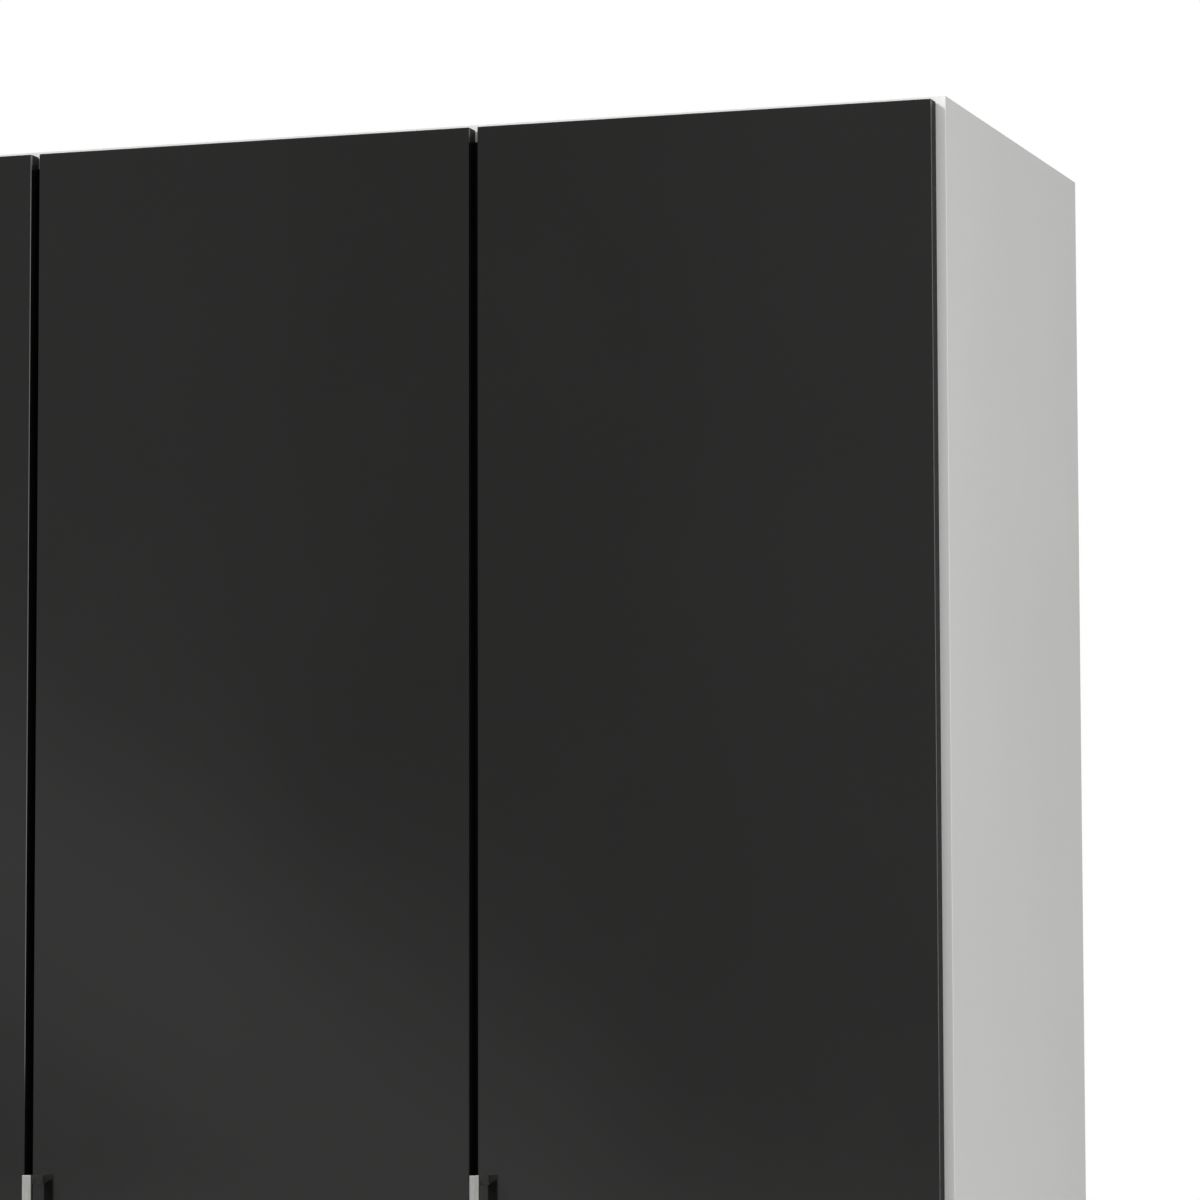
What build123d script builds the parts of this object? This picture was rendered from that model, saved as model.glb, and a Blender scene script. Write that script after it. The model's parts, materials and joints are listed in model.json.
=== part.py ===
"""Wardrobe with three hinged, glass-faced doors.

Millimetres, +Z up.  The origin is on the floor under the middle of the wardrobe's box, X runs to
the right and the doors face -Y.  Every door hangs on its right edge and opens towards -Y.
Each hinge is a concealed cup hinge: a cup let into the door, an arm on the carcass and one
hooked link between them, which turns on a pin at the arm's tip and reaches freely into the cup.
"""
import os

from build123d import *

os.makedirs("parts", exist_ok=True)

# Whole wardrobe
width = 1500
height = 2360
depth = 610  # from the front of the handles to the back
board = 18
back_thickness = 3
plinth_height = 60
plinth_setback = 45
fit = 0.05  # play round a fastener in its hole

# Doors
sides = ("left", "middle", "right")
side_reveal = 10  # front edge of a side panel that shows beside the doors
door_gap = 9.5
edge_reveal = 6  # carcass that shows above the doors, and below them
glass_thickness = 4
core_thickness = 16
standoff = 2  # between the doors and the carcass
arris = 0.5
edge_rounding = 0.8  # edging of the boards
dark_edging = 1.0  # black strip on the partitions' front edges, behind the gaps between the doors
dark_edging_rounding = 0.6

# Handles
handle_projection = 30
handle_length = 330
handle_width = 10
handle_inset = 1.5
handle_top = 1084  # below the top of the door
bar_thickness = 4
foot_height = 10
foot_rounding = 3
handle_edge = 0.5
m4_radius = 2

# Hinges, placed from the door's right front corner
hinge_count = 5
hinge_end = 100  # first and last hinge from the ends of the door
cup_centre = 22.5
cup_radius = 17.5
cup_depth = 11.5
cup_wall = 0.8
flange_thickness = 0.6
cup_screw_inset = 32
cup_screw_spread = 22.5
pivot_inset = 13.6
pivot_depth = 22.3
pin_radius = 1.5
eye_radius = 3
nose_radius = 3.4
link_thickness = 1.6
link_reach = 23.6
link_drop = 11.5
link_height = 9
arm_flange = 1.5
arm_left = 22
arm_right = 12
arm_web_start = 31
arm_end = 86
plate_screw_depth = 59
plate_screw_spread = 16

# Inside
shelf_clearance = 1
shelf_setback = 30
hat_shelf_height = 2010
shelf_heights = (410, 790, 1060, 1500, hat_shelf_height)
shelf_pin_radius = 2.5
shelf_pin_hole = 8
shelf_pin_reach = 8
hole_pitch = 32  # rows of holes let a shelf move up or down
spare_holes = 2  # above and below each shelf
rail_drop = 58  # rail centre below the hat shelf
rail_height = 30
rail_thickness = 15
rail_wall = 1.2
socket_depth = 12
socket_wall = 2.5
socket_floor = 3
socket_plate = 64
socket_screw_spread = 25

# Screws with flat round heads
rail_screw_radius = 1.75
rail_screw_length = 11
rail_head_radius = 3.5
rail_head_height = 2
plate_screw_radius = 2.4
plate_screw_length = 12
plate_head_radius = 4
plate_head_height = 2
cup_screw_radius = 1.75
cup_screw_length = 11
cup_head_radius = 3.4
cup_head_height = 1.6
bracket_screw_radius = 2
bracket_screw_length = 14
bracket_screw_reach = 22
bracket_screw_offset = 8

# Joints of the carcass
cam_radius = 7.5
cam_depth = 12.5
cam_inset = 34
cam_slot = 1.5
bolt_radius = 3.5
bolt_in_side = 10
joint_inset = 60
joining_screw_radius = 3
joining_screw_length = 50
joining_head_radius = 5
joining_head_height = 3
wall_fixing_spread = 950
wall_fixing_drop = 22
wall_fixing_radius = 3.5
bracket_thickness = 2
bracket_leg = 38
bracket_width = 30

# Derived places
half = width / 2
door_front = -depth / 2 + handle_projection
glass_back = door_front + glass_thickness
door_back = glass_back + core_thickness
case_front = door_back + standoff
case_back = depth / 2
back_front = case_back - back_thickness
inner = half - board
floor_top = plinth_height + board
ceiling = height - board
door_bottom = plinth_height + edge_reveal
door_top = height - edge_reveal
door_pitch = (width - 2 * side_reveal + door_gap) / len(sides)
door_width = door_pitch - door_gap
door_left_edge = [-half + side_reveal + i * door_pitch for i in range(len(sides))]
door_right_edge = [x + door_width for x in door_left_edge]
partition_centre = [x + door_gap / 2 for x in door_right_edge[:-1]]
bay_left = [-inner] + [x + board / 2 for x in partition_centre]
bay_right = [x - board / 2 for x in partition_centre] + [inner]
hinge_pitch = (door_top - door_bottom - 2 * hinge_end) / (hinge_count - 1)
hinge_heights = [door_bottom + hinge_end + i * hinge_pitch for i in range(hinge_count)]
pin_rows = (case_front + 60, back_front - 60)
rail_centre = hat_shelf_height - rail_drop
rail_y = (case_front + back_front) / 2
joint_rows = (case_front + joint_inset, (case_front + back_front) / 2, back_front - joint_inset)
handle_screw_spread = handle_length - foot_height
handle_centre = door_top - handle_top - handle_length / 2

LEFT, RIGHT = (-1, 0, 0), (1, 0, 0)
FRONT, BACK = (0, -1, 0), (0, 1, 0)
UP, DOWN = (0, 0, 1), (0, 0, -1)


def save(builder, label):
    """Label a finished piece and write it."""
    builder.part.label = label
    export_step(builder.part, f"parts/{label}.step")


def block(x, y, z, mode=Mode.ADD):
    """A block between its low and high x, y and z."""
    with Locations((x[0], y[0], z[0])):
        Box(x[1] - x[0], y[1] - y[0], z[1] - z[0], align=Align.MIN, mode=mode)


def rods(points, direction, radius, length, mode=Mode.ADD):
    """Round bars, or holes, that start at the points and run along the direction."""
    with Locations(*[Plane(origin=point, z_dir=direction) for point in points]):
        Cylinder(radius, length, align=(Align.CENTER, Align.CENTER, Align.MIN), mode=mode)


def countersunk(points, direction, radius, length, head_radius, head_height):
    """Countersunk screws whose flat heads start at the points."""
    rods(points, direction, radius, length)
    with Locations(*[Plane(origin=point, z_dir=direction) for point in points]):
        Cone(head_radius, radius, head_height, align=(Align.CENTER, Align.CENTER, Align.MIN))


def countersinks(points, direction, radius, length, head_radius, head_height):
    """Holes for countersunk screws, with a little play."""
    rods(points, direction, radius + fit, length + fit, Mode.SUBTRACT)
    with Locations(*[Plane(origin=point, z_dir=direction) for point in points]):
        Cone(head_radius + fit, radius + fit, head_height, mode=Mode.SUBTRACT,
             align=(Align.CENTER, Align.CENTER, Align.MIN))


def hinge_points(side, inset, depth_in, rise=0):
    """One point at each of a door's hinges, from its right front corner."""
    x = door_right_edge[side] - inset
    return [(x, door_front + depth_in, z + rise) for z in hinge_heights]


def plate_screw_points(side, x):
    """Screws of a door's mounting plates, on the plane at x."""
    y = door_front + plate_screw_depth
    spread = (-plate_screw_spread, plate_screw_spread)
    return [(x, y, z + rise) for z in hinge_heights for rise in spread]


def shelf_pin_points(x, heights, spares=0):
    """Places in a face at x, in a front and a back row, under each shelf and at spare heights."""
    steps = [step * hole_pitch for step in range(-spares, spares + 1)]
    return [(x, y, z - shelf_pin_radius + step) for z in heights for step in steps for y in pin_rows]


def rail_screw_points(x):
    """Screws of a rail socket on a face at x."""
    return [(x, rail_y, rail_centre + rise) for rise in (-socket_screw_spread, socket_screw_spread)]


bay_shelves = ((hat_shelf_height,), (hat_shelf_height,), shelf_heights)
bay_has_rail = (True, True, False)


def bay_holes(side, x, into):
    """Holes that a bay's fittings need in the panel whose face is at x."""
    rods(shelf_pin_points(x, bay_shelves[side], spare_holes), into, shelf_pin_radius + fit,
         shelf_pin_hole + fit, Mode.SUBTRACT)
    if bay_has_rail[side]:
        rods(rail_screw_points(x), into, rail_screw_radius + fit, rail_screw_length - socket_floor + fit,
             Mode.SUBTRACT)


# ---- Carcass boards ----

for name, sign in (("left", -1), ("right", 1)):
    side = 0 if sign < 0 else len(sides) - 1
    face = sign * inner
    into = RIGHT if sign > 0 else LEFT
    with BuildPart() as side_panel:
        block(sorted((face, sign * half)), (case_front, case_back), (0, height))
        fillet(side_panel.edges().filter_by(Axis.Z), edge_rounding)
        bay_holes(side, face, into)
        if name == "right":
            rods(plate_screw_points(side, face), into, plate_screw_radius + fit,
                 plate_screw_length, Mode.SUBTRACT)
        bolts = [(face, y, z) for y in joint_rows[::2]
                 for z in (plinth_height + board / 2, ceiling + board / 2)]
        rods(bolts, into, bolt_radius + fit, bolt_in_side + fit, Mode.SUBTRACT)
    save(side_panel, f"side_panel_{name}")

for index, name in enumerate(("left", "right")):
    centre = partition_centre[index]
    left_face = centre - board / 2
    right_face = centre + board / 2
    with BuildPart() as partition:
        block((left_face, right_face), (case_front + dark_edging, back_front), (floor_top, ceiling))
        bay_holes(index, left_face, RIGHT)
        bay_holes(index + 1, right_face, LEFT)
        rods(plate_screw_points(index, left_face), RIGHT, plate_screw_radius + fit,
             plate_screw_length, Mode.SUBTRACT)
        reach = joining_screw_length - board
        rods([(centre, y, floor_top) for y in joint_rows], UP, joining_screw_radius + fit,
             reach + fit, Mode.SUBTRACT)
        rods([(centre, y, ceiling) for y in joint_rows], DOWN, joining_screw_radius + fit,
             reach + fit, Mode.SUBTRACT)
    save(partition, f"partition_{name}")

with BuildPart() as partition_edging:
    for centre in partition_centre:
        block((centre - board / 2, centre + board / 2), (case_front, case_front + dark_edging),
              (floor_top, ceiling))
    fillet(partition_edging.edges().filter_by(Axis.Z).group_by(Axis.Y)[0], dark_edging_rounding)
save(partition_edging, "partition_edging")

joints = [(x, y) for x in partition_centre for y in joint_rows]
corners = [(sign, y) for sign in (-1, 1) for y in joint_rows[::2]]
wall_fixings = (-wall_fixing_spread / 2, wall_fixing_spread / 2)


def cross_board(z, outside, inwards):
    """The top or bottom board, with its cam pockets and screw holes in the outside face."""
    block((-inner, inner), (case_front, back_front), (z, z + board))
    pockets = [(sign * (inner - cam_inset), y, outside) for sign, y in corners]
    rods(pockets, inwards, cam_radius + fit, cam_depth + fit, Mode.SUBTRACT)
    for sign, y in corners:
        rods([(sign * inner, y, z + board / 2)], (-sign, 0, 0), bolt_radius + fit, cam_inset,
             Mode.SUBTRACT)
    countersinks([(x, y, outside) for x, y in joints], inwards, joining_screw_radius, board,
                 joining_head_radius, joining_head_height)


bracket_screws = [(x + shift, back_front - bracket_screw_reach, ceiling - bracket_thickness)
                  for x in wall_fixings for shift in (-bracket_screw_offset, bracket_screw_offset)]

with BuildPart() as top_panel:
    cross_board(ceiling, height, DOWN)
    rods(bracket_screws, UP, bracket_screw_radius + fit, bracket_screw_length, Mode.SUBTRACT)
save(top_panel, "top_panel")

with BuildPart() as bottom_panel:
    cross_board(plinth_height, plinth_height, UP)
save(bottom_panel, "bottom_panel")

plinth_places = {"front": case_front + plinth_setback, "rear": back_front - plinth_setback - board}
for name, y in plinth_places.items():
    with BuildPart() as plinth:
        block((-inner, inner), (y, y + board), (0, plinth_height))
    save(plinth, f"plinth_{name}")

back_edges = [-inner] + partition_centre + [inner]
for index, name in enumerate(sides):
    with BuildPart() as back_panel:
        block((back_edges[index], back_edges[index + 1]), (back_front, case_back),
              (plinth_height, height))
        fixings = [x for x in wall_fixings if back_edges[index] < x < back_edges[index + 1]]
        if fixings:
            rods([(x, back_front, ceiling - wall_fixing_drop) for x in fixings], BACK,
                 wall_fixing_radius, back_thickness, Mode.SUBTRACT)
    save(back_panel, f"back_panel_{name}")

with BuildPart() as cam_locks:
    for z, outside, inwards in ((plinth_height, plinth_height, UP), (ceiling, height, DOWN)):
        places = [(sign * (inner - cam_inset), y, outside) for sign, y in corners]
        rods(places, inwards, cam_radius, cam_depth)
        for x, y, level in places:
            slot = sorted((level, level + inwards[2] * cam_slot))
            reach = cam_radius * 0.7
            block((x - reach, x + reach), (y - cam_slot / 2, y + cam_slot / 2), slot, Mode.SUBTRACT)
            block((x - cam_slot / 2, x + cam_slot / 2), (y - reach, y + reach), slot, Mode.SUBTRACT)
save(cam_locks, "cam_locks")

with BuildPart() as cam_bolts:
    for sign, y in corners:
        starts = [(sign * (inner + bolt_in_side), y, z + board / 2) for z in (plinth_height, ceiling)]
        rods(starts, (-sign, 0, 0), bolt_radius, bolt_in_side + cam_inset - cam_radius - 4 * fit)
save(cam_bolts, "cam_bolts")

with BuildPart() as joining_screws:
    for level, inwards in ((plinth_height, UP), (height, DOWN)):
        countersunk([(x, y, level) for x, y in joints], inwards, joining_screw_radius,
                    joining_screw_length, joining_head_radius, joining_head_height)
save(joining_screws, "joining_screws")

# ---- Wall brackets, under the top board ----

with BuildPart() as wall_brackets:
    for x in wall_fixings:
        span = (x - bracket_width / 2, x + bracket_width / 2)
        block(span, (back_front - bracket_leg, back_front), (ceiling - bracket_thickness, ceiling))
        block(span, (back_front - bracket_thickness, back_front), (ceiling - bracket_leg, ceiling))
    rods([(x, back_front, ceiling - wall_fixing_drop) for x in wall_fixings], FRONT,
         wall_fixing_radius, bracket_thickness, Mode.SUBTRACT)
    rods(bracket_screws, UP, bracket_screw_radius + fit, bracket_thickness, Mode.SUBTRACT)
save(wall_brackets, "wall_brackets")

with BuildPart() as wall_bracket_screws:
    rods(bracket_screws, UP, bracket_screw_radius, bracket_screw_length)
    rods(bracket_screws, DOWN, plate_head_radius, plate_head_height)
save(wall_bracket_screws, "wall_bracket_screws")

# ---- Shelves and rails ----


def save_shelf(side, z, label):
    """A shelf that rests on its four pins in one bay."""
    with BuildPart() as shelf:
        block((bay_left[side] + shelf_clearance, bay_right[side] - shelf_clearance),
              (case_front + shelf_setback, back_front - shelf_clearance), (z, z + board))
        fillet(shelf.edges().filter_by(Axis.X).group_by(Axis.Y)[0], edge_rounding)
    save(shelf, label)


save_shelf(0, hat_shelf_height, "hat_shelf_left")
save_shelf(1, hat_shelf_height, "hat_shelf_middle")
for number, z in enumerate(shelf_heights, start=1):
    save_shelf(2, z, f"shelf_{number}")

with BuildPart() as shelf_pins:
    for side, heights in enumerate(bay_shelves):
        for x, into, out in ((bay_left[side], LEFT, RIGHT), (bay_right[side], RIGHT, LEFT)):
            points = shelf_pin_points(x, heights)
            rods(points, into, shelf_pin_radius, shelf_pin_hole)
            rods(points, out, shelf_pin_radius, shelf_pin_reach)
save(shelf_pins, "shelf_pins")

for side in range(2):
    with BuildPart() as rail:
        start = bay_left[side] + socket_floor
        with BuildSketch(Plane.YZ.offset(start)):
            with Locations((rail_y, rail_centre)):
                SlotOverall(rail_height, rail_thickness, rotation=90)
                SlotOverall(rail_height - 2 * rail_wall, rail_thickness - 2 * rail_wall, rotation=90,
                            mode=Mode.SUBTRACT)
        extrude(amount=bay_right[side] - bay_left[side] - 2 * socket_floor)
    save(rail, f"hanging_rail_{sides[side]}")

rail_faces = [(x, out) for side in range(2) for x, out in ((bay_left[side], 1), (bay_right[side], -1))]

with BuildPart() as rail_sockets:
    for x, out in rail_faces:
        with BuildSketch(Plane.YZ.offset(x)) as plate_outline:
            with Locations((rail_y, rail_centre)):
                SlotOverall(socket_plate, rail_thickness + 2 * socket_wall, rotation=90)
        extrude(plate_outline.sketch, amount=out * socket_floor)
        with BuildSketch(Plane.YZ.offset(x)) as ring_outline:
            with Locations((rail_y, rail_centre)):
                SlotOverall(rail_height + 2 * socket_wall, rail_thickness + 2 * socket_wall, rotation=90)
        extrude(ring_outline.sketch, amount=out * socket_depth)
        with BuildSketch(Plane.YZ.offset(x + out * socket_floor)) as tube_outline:
            with Locations((rail_y, rail_centre)):
                SlotOverall(rail_height + 2 * fit, rail_thickness + 2 * fit, rotation=90)
        extrude(tube_outline.sketch, amount=out * socket_depth, mode=Mode.SUBTRACT)
        rods(rail_screw_points(x), (out, 0, 0), rail_screw_radius + fit, socket_floor, Mode.SUBTRACT)
save(rail_sockets, "rail_sockets")

with BuildPart() as rail_socket_screws:
    for x, out in rail_faces:
        seat = x + out * socket_floor
        rods(rail_screw_points(seat), (-out, 0, 0), rail_screw_radius, rail_screw_length)
        rods(rail_screw_points(seat), (out, 0, 0), rail_head_radius, rail_head_height)
save(rail_socket_screws, "rail_socket_screws")

# ---- Hinges on the carcass ----

with BuildPart() as hinge_plates:
    for side in range(len(sides)):
        face = bay_right[side]
        seat = door_right_edge[side] - arm_right
        rail_left = door_right_edge[side] - arm_left + arm_flange
        y = door_front + plate_screw_depth
        for z in hinge_heights:
            block((seat, face), (y - 24, door_front + arm_end), (z - 9, z + 9))
            block((seat, face), (y - 8, y + 8), (z - 23, z + 23))
            rail_span = (z - link_height / 2, z + link_height / 2)
            block((rail_left, seat), (y - 18, door_front + arm_end - 4), rail_span)
        rods(plate_screw_points(side, seat), RIGHT, plate_screw_radius + fit, face - seat,
             Mode.SUBTRACT)
save(hinge_plates, "hinge_plates")

with BuildPart() as hinge_plate_screws:
    for side in range(len(sides)):
        seat = door_right_edge[side] - arm_right
        grip = bay_right[side] - seat + plate_screw_length - 1
        rods(plate_screw_points(side, seat), RIGHT, plate_screw_radius, grip)
        rods(plate_screw_points(side, seat), LEFT, plate_head_radius, plate_head_height)
save(hinge_plate_screws, "hinge_plate_screws")

fork_gap = link_height / 2 + 0.3
pin_length = 2 * (fork_gap + arm_flange)

for side, name in enumerate(sides):
    corner = door_right_edge[side]
    pivot = (corner - pivot_inset, door_front + pivot_depth)
    with BuildPart() as hinge_arms:
        for z in hinge_heights:
            for low in (z - fork_gap - arm_flange, z + fork_gap):
                with BuildSketch(Plane.XY.offset(low)) as cheek:
                    with Locations(pivot):
                        Circle(nose_radius)
                    with BuildLine():
                        Polyline(
                            (pivot[0] - nose_radius, pivot[1]),
                            (pivot[0] + nose_radius, pivot[1]),
                            (corner - arm_right + 1.5, pivot[1] + 6),
                            (corner - arm_right, door_front + plate_screw_depth - 24.3),
                            (corner - arm_right, door_front + arm_end),
                            (corner - arm_left, door_front + arm_end),
                            (corner - arm_left, door_front + arm_web_start),
                            close=True,
                        )
                    make_face()
                    with Locations(pivot):
                        Circle(pin_radius + 0.01, mode=Mode.SUBTRACT)
                extrude(cheek.sketch, amount=arm_flange)
            block((corner - arm_left, corner - arm_left + arm_flange),
                  (door_front + arm_web_start, door_front + arm_end),
                  (z - fork_gap - arm_flange, z + fork_gap + arm_flange))
    save(hinge_arms, f"hinge_arms_{name}")

with BuildPart() as hinge_pins:
    for side in range(len(sides)):
        rods(hinge_points(side, pivot_inset, pivot_depth, -pin_length / 2), UP, pin_radius, pin_length)
save(hinge_pins, "hinge_pins")

# ---- Links, one under each arm's tip ----

for side, name in enumerate(sides):
    pivot = (door_right_edge[side] - pivot_inset, door_front + pivot_depth)
    with BuildPart() as hinge_links:
        with BuildSketch(*[Plane.XY.offset(z - link_height / 2) for z in hinge_heights]):
            with Locations((pivot[0] - link_reach / 2, pivot[1])):
                Rectangle(link_reach + link_thickness, link_thickness)
            with Locations((pivot[0] - link_reach, pivot[1] - link_drop / 2)):
                Rectangle(link_thickness, link_drop + link_thickness)
            with Locations(pivot):
                Circle(eye_radius)
                Circle(pin_radius + 0.06, mode=Mode.SUBTRACT)
        extrude(amount=link_height)
    save(hinge_links, f"hinge_links_{name}")

# ---- Doors ----

for side, name in enumerate(sides):
    left, right = door_left_edge[side], door_right_edge[side]
    handle_x = left + handle_inset + handle_width / 2
    handle_z = (handle_centre - handle_screw_spread / 2, handle_centre + handle_screw_spread / 2)
    cups = hinge_points(side, cup_centre, glass_thickness + core_thickness)
    cup_screws = [(right - cup_screw_inset, door_back, z + rise) for z in hinge_heights
                  for rise in (-cup_screw_spread, cup_screw_spread)]
    handle_screws = [(handle_x, door_back, z) for z in handle_z]
    screw_grip = glass_thickness + core_thickness

    with BuildPart() as door_core:
        block((left, right), (glass_back, door_back), (door_bottom, door_top))
        rods(cups, FRONT, cup_radius + fit, cup_depth + fit, Mode.SUBTRACT)
        rods(cup_screws, FRONT, cup_screw_radius + fit, cup_screw_length, Mode.SUBTRACT)
        countersinks(handle_screws, FRONT, m4_radius, core_thickness, 2 * m4_radius, m4_radius)
    save(door_core, f"door_core_{name}")

    with BuildPart() as door_glass:
        block((left, right), (door_front, glass_back), (door_bottom, door_top))
        chamfer(door_glass.faces().sort_by(Axis.Y)[0].edges(), arris)
        rods([(handle_x, glass_back, z) for z in handle_z], FRONT, m4_radius + 0.5, glass_thickness,
             Mode.SUBTRACT)
    save(door_glass, f"door_glass_{name}")

    bar_front = door_front - handle_projection
    bar_back = bar_front + bar_thickness
    low, high = handle_centre - handle_length / 2, handle_centre + handle_length / 2
    with BuildPart() as handle:
        with BuildSketch(Plane.YZ.offset(handle_x - handle_width / 2)):
            with Locations(((bar_front + door_front) / 2, handle_centre)):
                Rectangle(handle_projection, handle_length)
            with BuildLine(mode=Mode.PRIVATE) as grip_line:
                Polyline(
                    (bar_back, low + bar_thickness),
                    (bar_back, high - bar_thickness),
                    (door_front, high - foot_height),
                    (door_front, low + foot_height),
                    close=True,
                )
            make_face(grip_line.line, mode=Mode.SUBTRACT)
        extrude(amount=handle_width)
        foot_corners = handle.edges().filter_by(Axis.X).group_by(Axis.Y)[-1]
        outer_corners = [foot_corners.sort_by(Axis.Z)[0], foot_corners.sort_by(Axis.Z)[-1]]
        fillet(outer_corners, foot_rounding)
        fillet(handle.faces().sort_by(Axis.Y)[0].edges(), handle_edge)
        rods([(handle_x, door_front, z) for z in handle_z], FRONT, m4_radius + fit, 12,
             Mode.SUBTRACT)
    save(handle, f"handle_{name}")

    with BuildPart() as screws:
        countersunk(handle_screws, FRONT, m4_radius, screw_grip + 10, 2 * m4_radius, m4_radius)
    save(screws, f"handle_screws_{name}")

    with BuildPart() as hinge_cups:
        rods(cups, FRONT, cup_radius, cup_depth)
        with BuildSketch(Plane.XZ.offset(-door_back)) as flange:
            with Locations(*[(right - cup_centre, z) for z in hinge_heights]):
                Circle(cup_radius + 1.5)
            with Locations(*[(right - cup_screw_inset + 1, z) for z in hinge_heights]):
                SlotOverall(60, 13, rotation=90)
        extrude(flange.sketch, amount=-flange_thickness)
        hollow_start = [(x, y + flange_thickness, z) for x, y, z in cups]
        rods(hollow_start, FRONT, cup_radius - cup_wall, cup_depth - cup_wall + flange_thickness,
             Mode.SUBTRACT)
        rods([(x, y + flange_thickness, z) for x, y, z in cup_screws], FRONT,
             cup_screw_radius + fit, 2 * flange_thickness, Mode.SUBTRACT)
    save(hinge_cups, f"hinge_cups_{name}")

    with BuildPart() as screws:
        seats = [(x, y + flange_thickness, z) for x, y, z in cup_screws]
        rods(seats, FRONT, cup_screw_radius, cup_screw_length)
        rods(seats, BACK, cup_head_radius, cup_head_height)
    save(screws, f"cup_screws_{name}")

    with BuildPart() as bumpers:
        rods([(left + 30, door_back, z) for z in (plinth_height + 12, ceiling + edge_reveal)], BACK,
             4, standoff - 0.4)
    save(bumpers, f"door_bumpers_{name}")
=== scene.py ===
"""Three-door wardrobe: black glass-faced doors on a white carcass, in a plain pale studio."""
import json
import math

import bmesh
import bpy
from mathutils import Euler, Matrix, Vector


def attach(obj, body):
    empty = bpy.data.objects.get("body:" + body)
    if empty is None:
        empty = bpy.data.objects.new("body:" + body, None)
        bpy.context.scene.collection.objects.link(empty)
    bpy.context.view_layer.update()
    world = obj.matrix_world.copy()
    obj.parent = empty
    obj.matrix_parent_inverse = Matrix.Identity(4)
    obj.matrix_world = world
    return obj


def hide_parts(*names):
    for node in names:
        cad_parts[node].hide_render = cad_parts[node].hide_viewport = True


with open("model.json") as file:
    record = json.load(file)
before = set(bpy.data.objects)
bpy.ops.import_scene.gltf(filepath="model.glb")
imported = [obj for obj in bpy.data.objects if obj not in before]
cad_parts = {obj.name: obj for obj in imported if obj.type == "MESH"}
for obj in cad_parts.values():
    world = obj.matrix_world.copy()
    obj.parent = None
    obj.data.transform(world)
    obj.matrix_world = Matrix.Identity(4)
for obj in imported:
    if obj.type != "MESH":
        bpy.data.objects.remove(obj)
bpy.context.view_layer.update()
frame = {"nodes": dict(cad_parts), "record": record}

MM = 0.001
SIDES = ("left", "middle", "right")

# How far the adjusting screws stand out of the hinge arms' webs, and where along the arms they sit.
ADJUSTER_PROUD = 0.8 * MM
ADJUSTER_PLACES = (0.42, 0.80)

# The camera: its place in metres, its turn, tilt and roll in degrees, and its lens in millimetres.
CAMERA_PLACE = (2.178, -5.644, 1.330)
CAMERA_TURN = 18.456
CAMERA_TILT = 5.307
CAMERA_ROLL = -0.151
LENS = 166.6

# The key light's direction, strength and width in degrees.
KEY_DIRECTION = Vector((0.70, 1.0, -0.56))
KEY_STRENGTH = 1.6
KEY_WIDTH = 4.5

# The strip light's place, aim and size in metres, and its power in watts.
STRIP_PLACE = (2.6, -1.7, 2.4)
STRIP_AIM = (0.75, 0.0, 2.2)
STRIP_SIZE = (0.6, 2.0)
STRIP_POWER = 15.5

# The studio's brightness: on the left, on the right, and in the stretch that the closed doors mirror.
LEFT_LIGHT = 0.76
RIGHT_LIGHT = 0.455
MIRRORED_LIGHT = 0.435
CORE_DROP = 0.075
BAND_LIGHT = 0.325
LIGHT_CHANGES = (-0.6, 0.9)

# The mirrored stretch, in sideways and upward slopes of the directions in front of the wardrobe.
# It is even as far as the first reach from its middle, and gone at the second.
STRETCH_ACROSS = -0.33
STRETCH_UP = 0.09
STRETCH_REACH = (0.16, 0.34)
LEAST_AHEAD = 0.05

# The stretch's darkest part, between two upright borders. The right one leans.
CORE_LEFT = (-0.404, -0.396)
CORE_RIGHT = (-0.306, -0.290)
CORE_LEAN = 0.106

# The slanting band: the slope and height of its ridge, its half width, and where it fades out.
BAND_SLOPE = -0.60
BAND_HEIGHT = -0.2255
BAND_WIDTH = 0.062
BAND_FADES = (-0.345, -0.300)

# The dark flag: where its borders fade, towards the back, towards the right, and above and below.
FLAG_BACK = (0.50, 0.80)
FLAG_RIGHT = (-0.05, 0.15)
FLAG_HEIGHT = (0.25, 0.50)

FLOOR_REACH = 60.0

# How near a point has to be to a ring's height to belong to the ring.
RING_TOLERANCE = 1e-9


# ---- Nodes and colours ----

def linear(hex_colour):
    """An sRGB hex colour as linear RGBA."""
    parts = [int(hex_colour[i:i + 2], 16) / 255 for i in (1, 3, 5)]
    return tuple(c / 12.92 if c <= 0.04045 else ((c + 0.055) / 1.055) ** 2.4 for c in parts) + (1.0,)


def add(tree, kind, inputs=None, **settings):
    """A node with its settings, and its inputs set to values or linked to sockets."""
    node = tree.nodes.new(kind)
    for name, value in settings.items():
        setattr(node, name, value)
    for name, value in (inputs or {}).items():
        if isinstance(value, bpy.types.NodeSocket):
            tree.links.new(value, node.inputs[name])
        else:
            node.inputs[name].default_value = value
    return node


def new_material(name):
    """An empty material, its tree, its shader and a socket with Object coordinates."""
    material = bpy.data.materials.new(name)
    material.use_nodes = True
    tree = material.node_tree
    tree.nodes.clear()
    shader = add(tree, "ShaderNodeBsdfPrincipled")
    add(tree, "ShaderNodeOutputMaterial", {"Surface": shader.outputs["BSDF"]})
    place = add(tree, "ShaderNodeTexCoord").outputs["Object"]
    return material, tree, shader, place


def stretched(tree, place, scale):
    """Coordinates scaled on each axis, for grain and brushing that run one way."""
    return add(tree, "ShaderNodeMapping", {"Vector": place, "Scale": scale}).outputs["Vector"]


def noise(tree, place, size, detail=2.0, rough=0.5):
    """Noise whose features are about this size in metres."""
    return add(tree, "ShaderNodeTexNoise", {"Vector": place, "Scale": 1 / size, "Detail": detail,
                                            "Roughness": rough}).outputs["Fac"]


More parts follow.
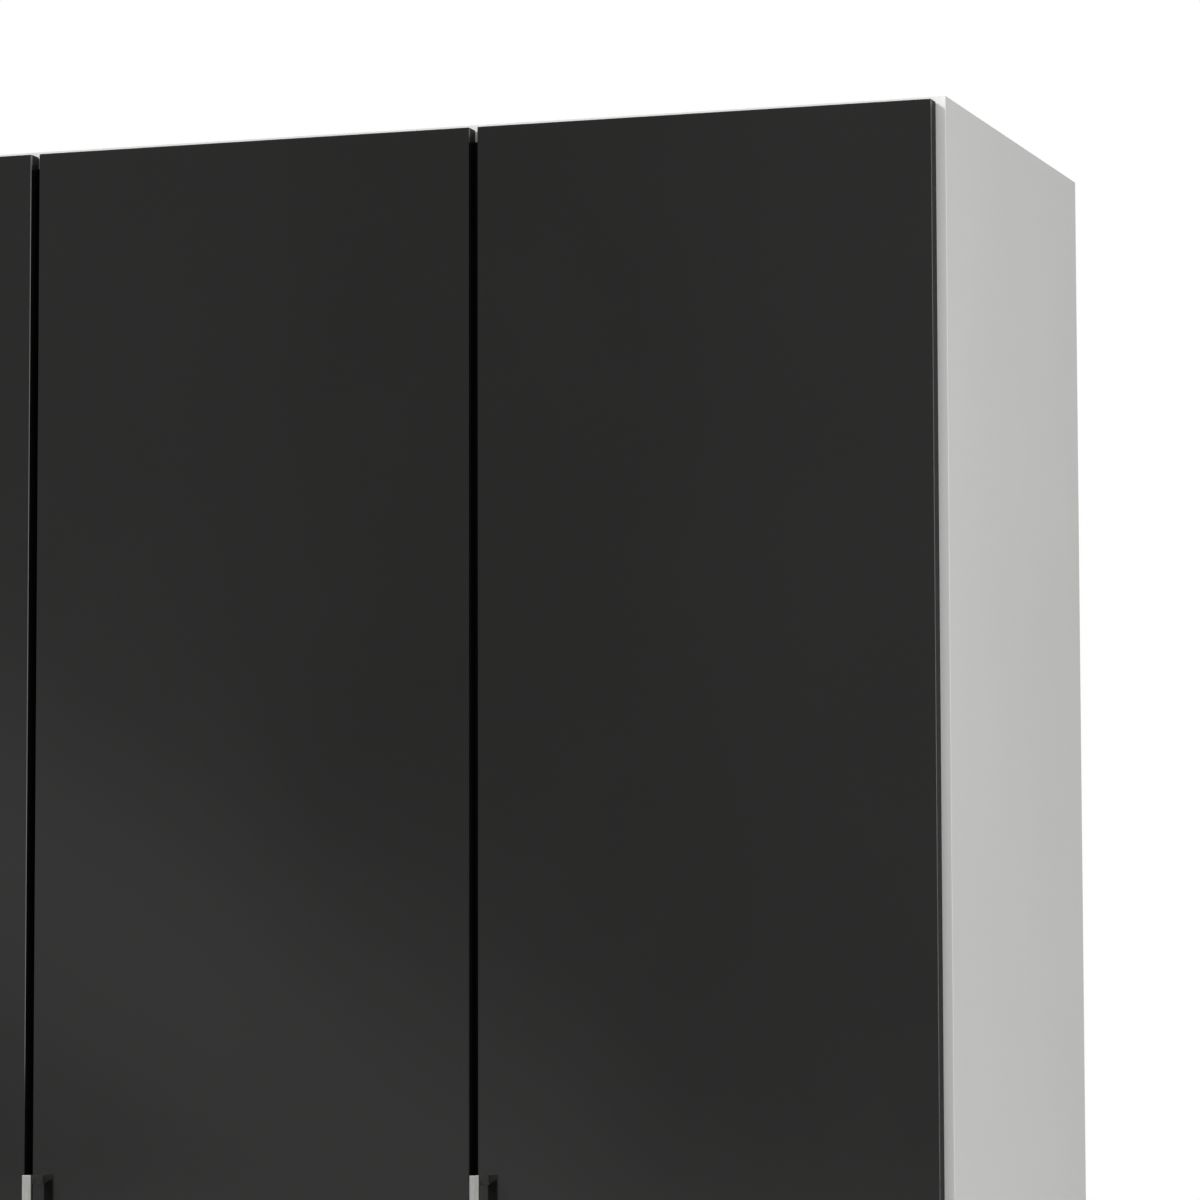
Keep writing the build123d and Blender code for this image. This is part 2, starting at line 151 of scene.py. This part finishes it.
def spread(tree, value, low, high, start=0.3, end=0.7):
    """Takes a noise value to a range."""
    return add(tree, "ShaderNodeMapRange", {"Value": value, "From Min": start, "From Max": end,
                                            "To Min": low, "To Max": high}).outputs["Result"]


def between(tree, factor, first, second):
    """A mix of two colours."""
    mix = add(tree, "ShaderNodeMix", data_type="RGBA")
    for name, value in (("Factor", factor), ("A", first), ("B", second)):
        socket = next(s for s in mix.inputs if s.name == name and s.enabled)
        if isinstance(value, bpy.types.NodeSocket):
            tree.links.new(value, socket)
        else:
            socket.default_value = value
    return next(s for s in mix.outputs if s.enabled)


def bump(tree, shader, height, distance, strength=1.0):
    """Raises the surface by a height pattern, over this distance in metres."""
    made = add(tree, "ShaderNodeBump", {"Height": height, "Distance": distance, "Strength": strength})
    tree.links.new(made.outputs["Normal"], shader.inputs["Normal"])


# ---- Materials ----

def white_melamine():
    """Chipboard faced with white melamine paper, pressed with a fine pearl texture: a soft sheen."""
    material, tree, shader, place = new_material("white_melamine")
    cloud = noise(tree, place, 0.35)
    tint = between(tree, spread(tree, cloud, 0.0, 1.0), linear("#ECECEB"), linear("#E9E9E7"))
    tree.links.new(tint, shader.inputs["Base Color"])
    pearl = noise(tree, place, 0.0022, detail=1.0)
    tree.links.new(spread(tree, pearl, 0.40, 0.52), shader.inputs["Roughness"])
    shader.inputs["IOR"].default_value = 1.5
    bump(tree, shader, pearl, 0.00004, 0.6)
    return material


def painted_hardboard():
    """High-density fibreboard, white paint inside and bare brown fibres behind: dull and mottled."""
    material, tree, shader, place = new_material("painted_hardboard")
    fibre = noise(tree, stretched(tree, place, (1.0, 1.0, 0.6)), 0.0016, detail=6.0, rough=0.7)
    cloud = noise(tree, place, 0.06, detail=3.0)
    brown = between(tree, spread(tree, fibre, 0.0, 1.0), linear("#8A6A48"), linear("#A5835C"))
    brown = between(tree, spread(tree, cloud, 0.0, 0.35), brown, linear("#755737"))
    facing = add(tree, "ShaderNodeSeparateXYZ",
                 {"Vector": add(tree, "ShaderNodeTexCoord").outputs["Normal"]}).outputs["Y"]
    behind = add(tree, "ShaderNodeMath", {0: facing, 1: 0.5}, operation="GREATER_THAN").outputs[0]
    tint = between(tree, behind, linear("#E6E6E3"), brown)
    tree.links.new(tint, shader.inputs["Base Color"])
    rough = add(tree, "ShaderNodeMath", {0: behind, 1: 0.25, 2: 0.5}, operation="MULTIPLY_ADD")
    tree.links.new(rough.outputs[0], shader.inputs["Roughness"])
    bump(tree, shader, fibre, 0.00008, 0.5)
    return material


def black_melamine():
    """Black melamine facing and edging on the door's board: satin, with a faint pearl texture."""
    material, tree, shader, place = new_material("black_melamine")
    pearl = noise(tree, place, 0.0022, detail=1.0)
    tint = between(tree, spread(tree, pearl, 0.0, 1.0), linear("#181817"), linear("#1D1D1C"))
    tree.links.new(tint, shader.inputs["Base Color"])
    tree.links.new(spread(tree, pearl, 0.38, 0.5), shader.inputs["Roughness"])
    shader.inputs["Specular IOR Level"].default_value = 0.08
    bump(tree, shader, pearl, 0.00004, 0.5)
    return material


def black_glass():
    """Float glass painted black behind: near-black and smooth, with polished edges of a darker, greenish
    tint.
    """
    material, tree, shader, place = new_material("back_painted_black_glass")
    facing = add(tree, "ShaderNodeSeparateXYZ",
                 {"Vector": add(tree, "ShaderNodeTexCoord").outputs["Normal"]}).outputs["Y"]
    flat = add(tree, "ShaderNodeMath", {0: facing}, operation="ABSOLUTE").outputs[0]
    edge = add(tree, "ShaderNodeMath", {0: flat, 1: 0.9}, operation="LESS_THAN").outputs[0]
    haze = noise(tree, place, 0.28, detail=3.0)
    face = between(tree, spread(tree, haze, 0.0, 1.0), linear("#131312"), linear("#151514"))
    tint = between(tree, edge, face, linear("#0A0E0D"))
    tree.links.new(tint, shader.inputs["Base Color"])
    tree.links.new(spread(tree, haze, 0.07, 0.09), shader.inputs["Roughness"])
    shader.inputs["IOR"].default_value = 1.5
    wave = noise(tree, stretched(tree, place, (1.0, 1.0, 0.35)), 0.22, detail=0.0)
    bump(tree, shader, wave, 0.00004, 1.0)
    return material


def brushed_metal(name, light, dark, grain, roughness):
    """A metal brushed upright: fine parallel scratches that soften every reflection across them."""
    material, tree, shader, place = new_material(name)
    scratch = noise(tree, stretched(tree, place, (1.0, 1.0, 0.02)), grain, detail=3.0, rough=0.6)
    tint = between(tree, spread(tree, scratch, 0.0, 1.0), linear(dark), linear(light))
    tree.links.new(tint, shader.inputs["Base Color"])
    low, high = roughness
    tree.links.new(spread(tree, scratch, low, high), shader.inputs["Roughness"])
    shader.inputs["Metallic"].default_value = 1.0
    shader.inputs["Anisotropic"].default_value = 0.5
    bump(tree, shader, scratch, 0.00003, 0.5)
    return material


def plated_metal(name, light, dark, blotch, roughness):
    """Pressed or cast metal with a thin plating: bright, with a slightly uneven, cloudy sheen."""
    material, tree, shader, place = new_material(name)
    cloud = noise(tree, place, blotch, detail=4.0, rough=0.6)
    tint = between(tree, spread(tree, cloud, 0.0, 1.0), linear(dark), linear(light))
    tree.links.new(tint, shader.inputs["Base Color"])
    low, high = roughness
    tree.links.new(spread(tree, cloud, low, high), shader.inputs["Roughness"])
    shader.inputs["Metallic"].default_value = 1.0
    fine = noise(tree, place, 0.0006, detail=2.0)
    bump(tree, shader, fine, 0.00002, 0.4)
    return material


def moulded_plastic(name, light, dark, grain, roughness):
    """Injection-moulded plastic with a fine spark-eroded grain: even, low sheen."""
    material, tree, shader, place = new_material(name)
    grainy = noise(tree, place, grain, detail=2.0)
    tint = between(tree, spread(tree, grainy, 0.0, 1.0), linear(dark), linear(light))
    tree.links.new(tint, shader.inputs["Base Color"])
    low, high = roughness
    tree.links.new(spread(tree, grainy, low, high), shader.inputs["Roughness"])
    bump(tree, shader, grainy, 0.00004, 0.5)
    return material


def clear_dots():
    """Soft clear polyurethane: milky, glossy dots."""
    material, tree, shader, place = new_material("clear_polyurethane")
    cloud = noise(tree, place, 0.003)
    tint = between(tree, spread(tree, cloud, 0.0, 1.0), linear("#C9CBC6"), linear("#DADBD7"))
    tree.links.new(tint, shader.inputs["Base Color"])
    tree.links.new(spread(tree, cloud, 0.12, 0.2), shader.inputs["Roughness"])
    shader.inputs["Transmission Weight"].default_value = 0.4
    return material


def pale_floor():
    """A matt painted studio floor, almost white, with a very faint mottle."""
    material, tree, shader, place = new_material("pale_painted_floor")
    cloud = noise(tree, place, 0.8, detail=4.0)
    tint = between(tree, spread(tree, cloud, 0.0, 1.0), linear("#DCDCDB"), linear("#E1E1E0"))
    tree.links.new(tint, shader.inputs["Base Color"])
    tree.links.new(spread(tree, cloud, 0.55, 0.7), shader.inputs["Roughness"])
    return material


MATERIALS = {
    "white_board": white_melamine(),
    "white_hardboard": painted_hardboard(),
    "black_board": black_melamine(),
    "black_glass": black_glass(),
    "satin_nickel": brushed_metal("brushed_nickel", "#BAB9B6", "#A3A29F", 0.0006, (0.30, 0.42)),
    "nickel_steel": plated_metal("nickel_plated_steel", "#C8C4BB", "#BDB9B0", 0.012, (0.22, 0.34)),
    "chromed_steel": plated_metal("chromed_steel_tube", "#D9DADC", "#CFD0D3", 0.08, (0.08, 0.14)),
    "zinc_steel": plated_metal("zinc_plated_steel", "#C2C6CA", "#A9AEB3", 0.006, (0.30, 0.45)),
    "zinc_casting": plated_metal("die_cast_zinc", "#A7A9AB", "#8F9294", 0.004, (0.42, 0.6)),
    "grey_plastic": moulded_plastic("grey_abs", "#A6A7A9", "#9A9B9D", 0.0012, (0.42, 0.55)),
    "clear_rubber": clear_dots(),
}

for entry in frame["record"]["subparts"]:
    mesh = frame["nodes"][entry["node"]].data
    mesh.materials.clear()
    mesh.materials.append(MATERIALS[entry["material_slot"]])


# ---- Small pieces ----

def finish_piece(builder, name, body, slot, *replaced):
    """Makes a piece of the finished bmesh and puts it on its body."""
    bmesh.ops.recalc_face_normals(builder, faces=builder.faces)
    mesh = bpy.data.meshes.new(name)
    builder.to_mesh(mesh)
    builder.free()
    mesh.shade_smooth()
    mesh.set_sharp_from_angle(angle=math.radians(35))
    mesh.materials.append(MATERIALS[slot])
    piece = bpy.data.objects.new(name, mesh)
    bpy.context.scene.collection.objects.link(piece)
    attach(piece, body)
    if replaced:
        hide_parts(*replaced)
    return piece


def loose_parts(node):
    """The separate solids of a CAD node, each as its list of points."""
    builder = bmesh.new()
    builder.from_mesh(frame["nodes"][node].data)
    bmesh.ops.remove_doubles(builder, verts=builder.verts, dist=0.01 * MM)
    waiting = set(builder.verts)
    parts = []
    while waiting:
        front = [waiting.pop()]
        points = []
        while front:
            vert = front.pop()
            points.append(vert.co.copy())
            near = {edge.other_vert(vert) for edge in vert.link_edges} & waiting
            waiting -= near
            front.extend(near)
        parts.append(points)
    builder.free()
    return parts


def box_of(points):
    """The low and high corners of some points."""
    low = Vector(min(point[axis] for point in points) for axis in range(3))
    high = Vector(max(point[axis] for point in points) for axis in range(3))
    return low, high


def screw_place(points):
    """Where a screw's head ends, and which way its shank runs. The head is the wider end."""
    low, high = box_of(points)
    size = high - low
    axis = max(range(3), key=lambda i: size[i])
    centre = (low + high) / 2
    others = [i for i in range(3) if i != axis]

    def width(end):
        near = [p for p in points if abs(p[axis] - end) < 0.05 * MM]
        return max(abs(p[i] - centre[i]) for p in near for i in others)

    head_is_low = width(low[axis]) > width(high[axis])
    along = Vector((0, 0, 0))
    along[axis] = 1.0 if head_is_low else -1.0
    centre[axis] = low[axis] if head_is_low else high[axis]
    return centre, along


def ring_on(builder, edges, radius, height):
    """Extrudes a ring of edges and brings the new ring to this radius and height."""
    made = bmesh.ops.extrude_edge_only(builder, edges=edges)["geom"]
    for vert in (item for item in made if isinstance(item, bmesh.types.BMVert)):
        flat = Vector((vert.co.x, vert.co.y, 0)).normalized() * radius
        vert.co = (flat.x, flat.y, height)
    return [item for item in made if isinstance(item, bmesh.types.BMEdge)
            and all(abs(vert.co.z - height) < RING_TOLERANCE for vert in item.verts)]


def cross_recess(builder, size):
    """A flat cross of five cells at height zero. Gives its faces and its outline."""
    arm = size * 0.22
    bmesh.ops.create_grid(builder, x_segments=3, y_segments=3, size=size)
    for vert in builder.verts:
        for axis in (0, 1):
            if abs(vert.co[axis]) < size * 0.9:
                vert.co[axis] = math.copysign(arm, vert.co[axis])
    middles = {face: face.calc_center_median() for face in builder.faces}
    corners = [face for face, middle in middles.items() if min(abs(middle.x), abs(middle.y)) > arm]
    bmesh.ops.delete(builder, geom=corners, context="FACES")
    outline = [edge for edge in builder.edges if edge.is_boundary]
    return list(builder.faces), outline


def screw_shape(head_radius, head_height, shank_radius, length, flat_head):
    """A screw with a cross recess. Its head's top is at the origin and its shank runs along +Z."""
    builder = bmesh.new()
    recess = head_radius * 0.5
    cells, outline = cross_recess(builder, recess)
    rim_radius = head_radius * 0.62
    rim = bmesh.ops.create_circle(builder, segments=24, radius=rim_radius)["verts"]
    rim_edges = list({edge for vert in rim for edge in vert.link_edges})
    bmesh.ops.bridge_loops(builder, edges=outline + rim_edges)
    sunk = bmesh.ops.extrude_face_region(builder, geom=cells)["geom"]
    bmesh.ops.delete(builder, geom=cells, context="FACES_ONLY")
    depth = head_height * 0.75
    taper = 0.7
    for vert in (item for item in sunk if isinstance(item, bmesh.types.BMVert)):
        vert.co = (vert.co.x * taper, vert.co.y * taper, depth)
    edges = rim_edges
    if flat_head:
        steps = [(0.97, 0.0), (1.0, 0.06)]
    else:
        steps = [(0.82, 0.10), (0.95, 0.32), (1.0, 0.62), (1.0, 1.0)]
    for reach, fall in steps:
        edges = ring_on(builder, edges, head_radius * reach, head_height * fall)
    edges = ring_on(builder, edges, shank_radius, head_height)
    edges = ring_on(builder, edges, shank_radius, length - shank_radius)
    tip_radius = shank_radius * 0.15
    edges = ring_on(builder, edges, tip_radius, length)
    bmesh.ops.edgeloop_fill(builder, edges=edges)
    bmesh.ops.recalc_face_normals(builder, faces=builder.faces)
    return builder


def copies(shape, places):
    """One bmesh with the shape turned and moved to every place."""
    mesh = bpy.data.meshes.new("shape")
    shape.to_mesh(mesh)
    shape.free()
    builder = bmesh.new()
    for centre, along in places:
        start = len(builder.verts)
        builder.from_mesh(mesh)
        builder.verts.ensure_lookup_table()
        turn = along.to_track_quat("Z", "Y").to_matrix().to_4x4()
        bmesh.ops.transform(builder, matrix=Matrix.Translation(centre) @ turn, verts=builder.verts[start:])
    bpy.data.meshes.remove(mesh)
    return builder


def screws(node, body, slot, head_radius, head_height, shank_radius, flat_head=False):
    """Puts finished screws where the CAD screws of a node are, sizes in millimetres.

    They all get the length of the screw that is found first.
    """
    parts = loose_parts(node)
    low, high = box_of(parts[0])
    length = max(high - low)
    shape = screw_shape(head_radius * MM, head_height * MM, shank_radius * MM, length, flat_head)
    builder = copies(shape, [screw_place(points) for points in parts])
    return finish_piece(builder, f"finished_{node}", body, slot, node)


def dome_shape(radius, height):
    """A soft dot: a low dome with a rounded edge, its foot at the origin."""
    builder = bmesh.new()
    bmesh.ops.create_circle(builder, segments=32, radius=radius, cap_ends=True)
    straight = 0.35
    steps = 7
    edges = ring_on(builder, list(builder.edges), radius, height * straight)
    for step in range(1, steps):
        angle = math.radians(90 * step / steps)
        rise = straight + (1 - straight) * math.sin(angle)
        edges = ring_on(builder, edges, radius * math.cos(angle), height * rise)
    bmesh.ops.edgeloop_fill(builder, edges=edges)
    bmesh.ops.recalc_face_normals(builder, faces=builder.faces)
    return builder


def bumpers(side):
    """Soft dots on the back of a door, at the handle side's top and bottom."""
    node = f"door_bumpers_{side}"
    parts = [box_of(points) for points in loose_parts(node)]
    low, high = parts[0]
    shape = dome_shape((high.x - low.x) / 2, high.y - low.y)
    places = [(Vector(((low.x + high.x) / 2, low.y, (low.z + high.z) / 2)), Vector((0, 1, 0)))
              for low, high in parts]
    finish_piece(copies(shape, places), f"domed_bumpers_{side}", f"door_{side}", "clear_rubber", node)


def adjusting_screws(side):
    """The two adjusting screws on each hinge arm, let into its web."""
    places = []
    for points in loose_parts(f"hinge_arms_{side}"):
        low, high = box_of(points)
        for reach in ADJUSTER_PLACES:
            y = low.y + (high.y - low.y) * reach
            places.append((Vector((low.x - ADJUSTER_PROUD, y, (low.z + high.z) / 2)), Vector((1, 0, 0))))
    shape = screw_shape(head_radius=3.2 * MM, head_height=1.2 * MM, shank_radius=2.0 * MM,
                        length=3.4 * MM, flat_head=False)
    finish_piece(copies(shape, places), f"adjusting_screws_{side}", "carcass", "zinc_steel")


# Each node, its body and slot, then the head's radius and height and the shank's radius.
screws("hinge_plate_screws", "carcass", "zinc_steel", 4.0, 2.0, 2.4)
screws("rail_socket_screws", "carcass", "zinc_steel", 3.5, 2.0, 1.75)
screws("wall_bracket_screws", "carcass", "zinc_steel", 4.0, 2.0, 2.0)
screws("joining_screws", "carcass", "zinc_steel", 5.0, 3.0, 3.0, flat_head=True)
for side in SIDES:
    screws(f"cup_screws_{side}", f"door_{side}", "zinc_steel", 3.4, 1.6, 1.75)
    screws(f"handle_screws_{side}", f"door_{side}", "zinc_steel", 4.0, 2.0, 2.0, flat_head=True)
    bumpers(side)
    adjusting_screws(side)


# ---- Camera, light and floor ----

def place_camera():
    """The camera, low in front and to the right, looking slightly up."""
    camera = bpy.data.objects.new("camera", bpy.data.cameras.new("camera"))
    bpy.context.scene.collection.objects.link(camera)
    camera.data.lens = LENS
    turned = Euler((math.radians(90 + CAMERA_TILT), 0, math.radians(CAMERA_TURN))).to_matrix()
    rolled = turned @ Matrix.Rotation(math.radians(CAMERA_ROLL), 3, "Z")
    camera.matrix_world = Matrix.Translation(CAMERA_PLACE) @ rolled.to_4x4()
    camera.data.clip_end = 100
    bpy.context.scene.camera = camera


def key_light(direction, strength, width):
    """A studio key light far off. Its width in degrees sets how soft the shadows are."""
    light = bpy.data.lights.new("key_light", "SUN")
    light.energy = strength
    light.angle = math.radians(width)
    holder = bpy.data.objects.new("key_light", light)
    bpy.context.scene.collection.objects.link(holder)
    holder.rotation_euler = direction.to_track_quat("-Z", "Y").to_euler()


def strip_light(place, target, size, power):
    """A tall soft box, close enough for its light to fade along the side panel."""
    light = bpy.data.lights.new("strip_light", "AREA")
    light.shape = "RECTANGLE"
    light.size, light.size_y = size
    light.energy = power
    holder = bpy.data.objects.new("strip_light", light)
    bpy.context.scene.collection.objects.link(holder)
    holder.location = place
    holder.rotation_euler = (Vector(target) - Vector(place)).to_track_quat("-Z", "Y").to_euler()


def studio_world():
    """White behind the object. What lights it is a pale grey studio, with a darker stretch in front.

    The darker stretch is what the closed doors mirror. A slanting pale band crosses it, and a narrow
    dark flag stands behind on the right, so that the edges of the doors stay black.
    """
    world = bpy.data.worlds.new("studio")
    bpy.context.scene.world = world
    world.use_nodes = True
    tree = world.node_tree
    tree.nodes.clear()

    def maths(operation, *values):
        return add(tree, "ShaderNodeMath", dict(enumerate(values)), operation=operation).outputs[0]

    def ramp(value, start, end, low, high):
        return add(tree, "ShaderNodeMapRange", {"Value": value, "From Min": start, "From Max": end,
                                                "To Min": low, "To Max": high},
                   interpolation_type="SMOOTHSTEP").outputs["Result"]

    direction = add(tree, "ShaderNodeTexCoord").outputs["Generated"]
    axes = add(tree, "ShaderNodeSeparateXYZ", {"Vector": direction}).outputs
    # The surroundings: brighter on the left than on the right.
    light = ramp(axes["X"], *LIGHT_CHANGES, LEFT_LIGHT, RIGHT_LIGHT)

    # Sideways and upward slope of the directions in front.
    ahead = maths("MAXIMUM", maths("MULTIPLY", axes["Y"], -1.0), LEAST_AHEAD)
    across = maths("DIVIDE", axes["X"], ahead)
    up = maths("DIVIDE", axes["Z"], ahead)

    # The darker stretch, and the darkest part in the middle of it.
    wide = ramp(maths("ABSOLUTE", maths("SUBTRACT", across, STRETCH_ACROSS)), *STRETCH_REACH, 1.0, 0.0)
    tall = ramp(maths("ABSOLUTE", maths("SUBTRACT", up, STRETCH_UP)), *STRETCH_REACH, 1.0, 0.0)
    stretch = maths("MULTIPLY", wide, tall)
    leaning = maths("MULTIPLY_ADD", up, CORE_LEAN, across)
    core = maths("MULTIPLY", ramp(across, *CORE_LEFT, 0.0, 1.0), ramp(leaning, *CORE_RIGHT, 1.0, 0.0))
    mirrored = maths("MULTIPLY_ADD", core, -CORE_DROP, MIRRORED_LIGHT)

    # The slanting band.
    ridge = maths("MULTIPLY_ADD", across, BAND_SLOPE, BAND_HEIGHT)
    off = maths("ABSOLUTE", maths("SUBTRACT", up, ridge))
    band = maths("MULTIPLY", ramp(off, 0.0, BAND_WIDTH, BAND_LIGHT, 0.0),
                 ramp(across, *BAND_FADES, 1.0, 0.0))
    mirrored = maths("ADD", mirrored, band)

    # The dark flag behind on the right.
    flag = maths("MULTIPLY", ramp(axes["Y"], *FLAG_BACK, 0.0, 1.0),
                 ramp(axes["X"], *FLAG_RIGHT, 0.0, 1.0))
    flag = maths("MULTIPLY", flag, ramp(maths("ABSOLUTE", axes["Z"]), *FLAG_HEIGHT, 1.0, 0.0))
    light = maths("MULTIPLY", light, maths("SUBTRACT", 1.0, flag))

    ahead_only = maths("LESS_THAN", axes["Y"], 0.0)
    stretch = maths("MULTIPLY", stretch, ahead_only)
    difference = maths("SUBTRACT", mirrored, light)
    light = maths("MULTIPLY_ADD", difference, stretch, light)

    studio = add(tree, "ShaderNodeBackground", {"Color": light, "Strength": 1.0})
    white = add(tree, "ShaderNodeBackground", {"Color": (1, 1, 1, 1), "Strength": 1.0})
    seen = add(tree, "ShaderNodeLightPath").outputs["Is Camera Ray"]
    mix = add(tree, "ShaderNodeMixShader", {0: seen, 1: studio.outputs[0], 2: white.outputs[0]})
    add(tree, "ShaderNodeOutputWorld", {"Surface": mix.outputs[0]})


def studio_floor():
    """A wide pale floor for the wardrobe to stand on."""
    builder = bmesh.new()
    bmesh.ops.create_grid(builder, x_segments=8, y_segments=8, size=FLOOR_REACH)
    mesh = bpy.data.meshes.new("studio_floor")
    builder.to_mesh(mesh)
    builder.free()
    mesh.materials.append(pale_floor())
    floor = bpy.data.objects.new("studio_floor", mesh)
    bpy.context.scene.collection.objects.link(floor)


place_camera()
key_light(KEY_DIRECTION, KEY_STRENGTH, KEY_WIDTH)
strip_light(STRIP_PLACE, STRIP_AIM, STRIP_SIZE, STRIP_POWER)
studio_world()
studio_floor()
bpy.context.scene.view_settings.view_transform = "Standard"
